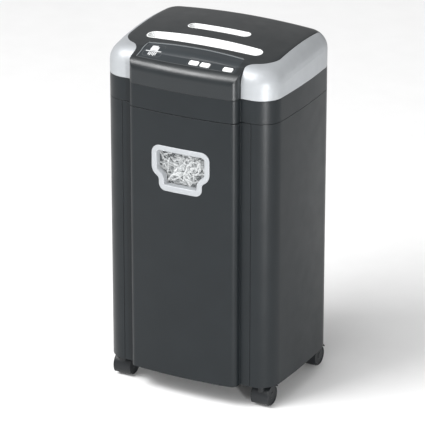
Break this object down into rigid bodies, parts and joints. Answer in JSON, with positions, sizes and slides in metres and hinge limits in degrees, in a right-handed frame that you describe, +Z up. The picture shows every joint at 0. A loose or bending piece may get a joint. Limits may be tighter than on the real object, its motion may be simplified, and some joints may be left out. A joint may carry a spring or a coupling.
{
  "type": "paper shredder",
  "caption": "Deskside paper shredder on casters: tall cabinet with a windowed pull-out waste bin and a cutting head with paper and disc slots and push buttons.",
  "frame": {"origin": "on the floor, under the centre of the machine's bounding box", "axes": "+Z up; -Y is the front, with the drawer and the control panel; +X is the machine's left-to-right direction seen from the front"},
  "size_m": [0.359, 0.285, 0.6929],
  "materials": {
    "body_plastic": "fine satin grain, charcoal",
    "cover_plastic": "fine satin grain, charcoal",
    "panel_plastic": "smooth satin",
    "silver_plastic": "metallic silver lacquer, satin",
    "white_plastic": "satin",
    "clear_window": "clear, polished",
    "bin_plastic": "moulded, dull",
    "paper": "uncoated office paper",
    "caster_plastic": "moulded nylon",
    "steel": "zinc plated or ground",
    "bronze": "sintered bronze",
    "gear_plastic": "moulded acetal",
    "board": "circuit board",
    "inlet_plastic": "moulded"
  },
  "bodies": {
    "cabinet": {"base_plate": "bin_plastic", "left_side_panel": "body_plastic", "right_side_panel": "body_plastic", "back_panel": "body_plastic", "back_panel_screws": "steel", "cabinet_rails": "bin_plastic", "caster_sockets": "steel", "head_housing": "body_plastic", "top_cover": "cover_plastic", "left_shoulder_cap": "silver_plastic", "right_shoulder_cap": "silver_plastic", "control_panel": "panel_plastic", "control_board": "board", "paper_throat": "white_plastic", "disc_throat": "white_plastic", "left_frame_plate": "steel", "right_frame_plate": "steel", "tie_rods": "steel", "shaft_bushes": "bronze", "front_comb": "gear_plastic", "rear_comb": "gear_plastic", "idler_pin": "steel", "motor_case": "steel", "power_inlet": "inlet_plastic", "power_board": "board"},
    "drawer": {"drawer_front": "body_plastic", "waste_bin": "bin_plastic", "window_bezel": "silver_plastic", "window_lens": "clear_window", "shredded_paper": "paper", "drawer_runners": "bin_plastic"},
    "start_button": {"start_button": "white_plastic"},
    "stop_button": {"stop_button": "white_plastic"},
    "reverse_button": {"reverse_button": "white_plastic"},
    "rear_cutter": {"rear_cutter": "steel", "rear_sync_gear": "steel", "drive_gear": "steel"},
    "front_cutter": {"front_cutter": "steel", "front_sync_gear": "steel"},
    "idler": {"idler_gear": "gear_plastic"},
    "motor_rotor": {"motor_rotor": "steel", "motor_pinion": "steel", "motor_fan": "gear_plastic"},
    "caster_fl": {"caster_hood_fl": "caster_plastic", "caster_axle_fl": "steel"},
    "wheel_fl_a": {"caster_wheel_fl_a": "caster_plastic"},
    "wheel_fl_b": {"caster_wheel_fl_b": "caster_plastic"},
    "caster_fr": {"caster_hood_fr": "caster_plastic", "caster_axle_fr": "steel"},
    "wheel_fr_a": {"caster_wheel_fr_a": "caster_plastic"},
    "wheel_fr_b": {"caster_wheel_fr_b": "caster_plastic"},
    "caster_bl": {"caster_hood_bl": "caster_plastic", "caster_axle_bl": "steel"},
    "wheel_bl_a": {"caster_wheel_bl_a": "caster_plastic"},
    "wheel_bl_b": {"caster_wheel_bl_b": "caster_plastic"},
    "caster_br": {"caster_hood_br": "caster_plastic", "caster_axle_br": "steel"},
    "wheel_br_a": {"caster_wheel_br_a": "caster_plastic"},
    "wheel_br_b": {"caster_wheel_br_b": "caster_plastic"}
  },
  "joints": [
    {"name": "drawer_slide", "type": "slide", "parent": "cabinet", "child": "drawer", "axis": [0, -1, 0], "range_m": [0, 0.2]},
    {"name": "swivel_fl", "type": "hinge", "parent": "cabinet", "child": "caster_fl", "pos_m": [-0.148, -0.097, 0.045], "axis": [0, 0, 1], "continuous": true},
    {"name": "roll_fl_a", "type": "hinge", "parent": "caster_fl", "child": "wheel_fl_a", "pos_m": [-0.1585, -0.083, 0.02], "axis": [1, 0, 0], "continuous": true},
    {"name": "roll_fl_b", "type": "hinge", "parent": "caster_fl", "child": "wheel_fl_b", "pos_m": [-0.1375, -0.083, 0.02], "axis": [1, 0, 0], "continuous": true},
    {"name": "swivel_fr", "type": "hinge", "parent": "cabinet", "child": "caster_fr", "pos_m": [0.148, -0.097, 0.045], "axis": [0, 0, 1], "continuous": true},
    {"name": "roll_fr_a", "type": "hinge", "parent": "caster_fr", "child": "wheel_fr_a", "pos_m": [0.1375, -0.083, 0.02], "axis": [1, 0, 0], "continuous": true},
    {"name": "roll_fr_b", "type": "hinge", "parent": "caster_fr", "child": "wheel_fr_b", "pos_m": [0.1585, -0.083, 0.02], "axis": [1, 0, 0], "continuous": true},
    {"name": "swivel_bl", "type": "hinge", "parent": "cabinet", "child": "caster_bl", "pos_m": [-0.148, 0.105, 0.045], "axis": [0, 0, 1], "continuous": true},
    {"name": "roll_bl_a", "type": "hinge", "parent": "caster_bl", "child": "wheel_bl_a", "pos_m": [-0.1585, 0.119, 0.02], "axis": [1, 0, 0], "continuous": true},
    {"name": "roll_bl_b", "type": "hinge", "parent": "caster_bl", "child": "wheel_bl_b", "pos_m": [-0.1375, 0.119, 0.02], "axis": [1, 0, 0], "continuous": true},
    {"name": "swivel_br", "type": "hinge", "parent": "cabinet", "child": "caster_br", "pos_m": [0.148, 0.105, 0.045], "axis": [0, 0, 1], "continuous": true},
    {"name": "roll_br_a", "type": "hinge", "parent": "caster_br", "child": "wheel_br_a", "pos_m": [0.1375, 0.119, 0.02], "axis": [1, 0, 0], "continuous": true},
    {"name": "roll_br_b", "type": "hinge", "parent": "caster_br", "child": "wheel_br_b", "pos_m": [0.1585, 0.119, 0.02], "axis": [1, 0, 0], "continuous": true},
    {"name": "start_press", "type": "slide", "parent": "cabinet", "child": "start_button", "axis": [0, 0.3322, -0.9432], "range_m": [0, 0.0012], "stiffness_N_per_m": 1200},
    {"name": "stop_press", "type": "slide", "parent": "cabinet", "child": "stop_button", "axis": [0, 0.3322, -0.9432], "range_m": [0, 0.0012], "stiffness_N_per_m": 1200},
    {"name": "reverse_press", "type": "slide", "parent": "cabinet", "child": "reverse_button", "axis": [0, 0.3322, -0.9432], "range_m": [0, 0.0012], "stiffness_N_per_m": 1200},
    {"name": "rear_cutter_spin", "type": "hinge", "parent": "cabinet", "child": "rear_cutter", "pos_m": [0, 0.007, 0.605], "axis": [1, 0, 0], "continuous": true},
    {"name": "front_cutter_spin", "type": "hinge", "parent": "cabinet", "child": "front_cutter", "pos_m": [0, -0.039, 0.605], "axis": [1, 0, 0], "continuous": true},
    {"name": "idler_spin", "type": "hinge", "parent": "cabinet", "child": "idler", "pos_m": [0.15, 0.04057, 0.61995], "axis": [1, 0, 0], "continuous": true},
    {"name": "motor_spin", "type": "hinge", "parent": "cabinet", "child": "motor_rotor", "pos_m": [0.09, 0.06889, 0.60734], "axis": [1, 0, 0], "continuous": true}
  ],
  "couplings": [
    {"joint": "front_cutter_spin", "follows": "rear_cutter_spin", "ratio": -1},
    {"joint": "idler_spin", "follows": "rear_cutter_spin", "ratio": -2.5},
    {"joint": "motor_spin", "follows": "rear_cutter_spin", "ratio": 10.417}
  ]
}
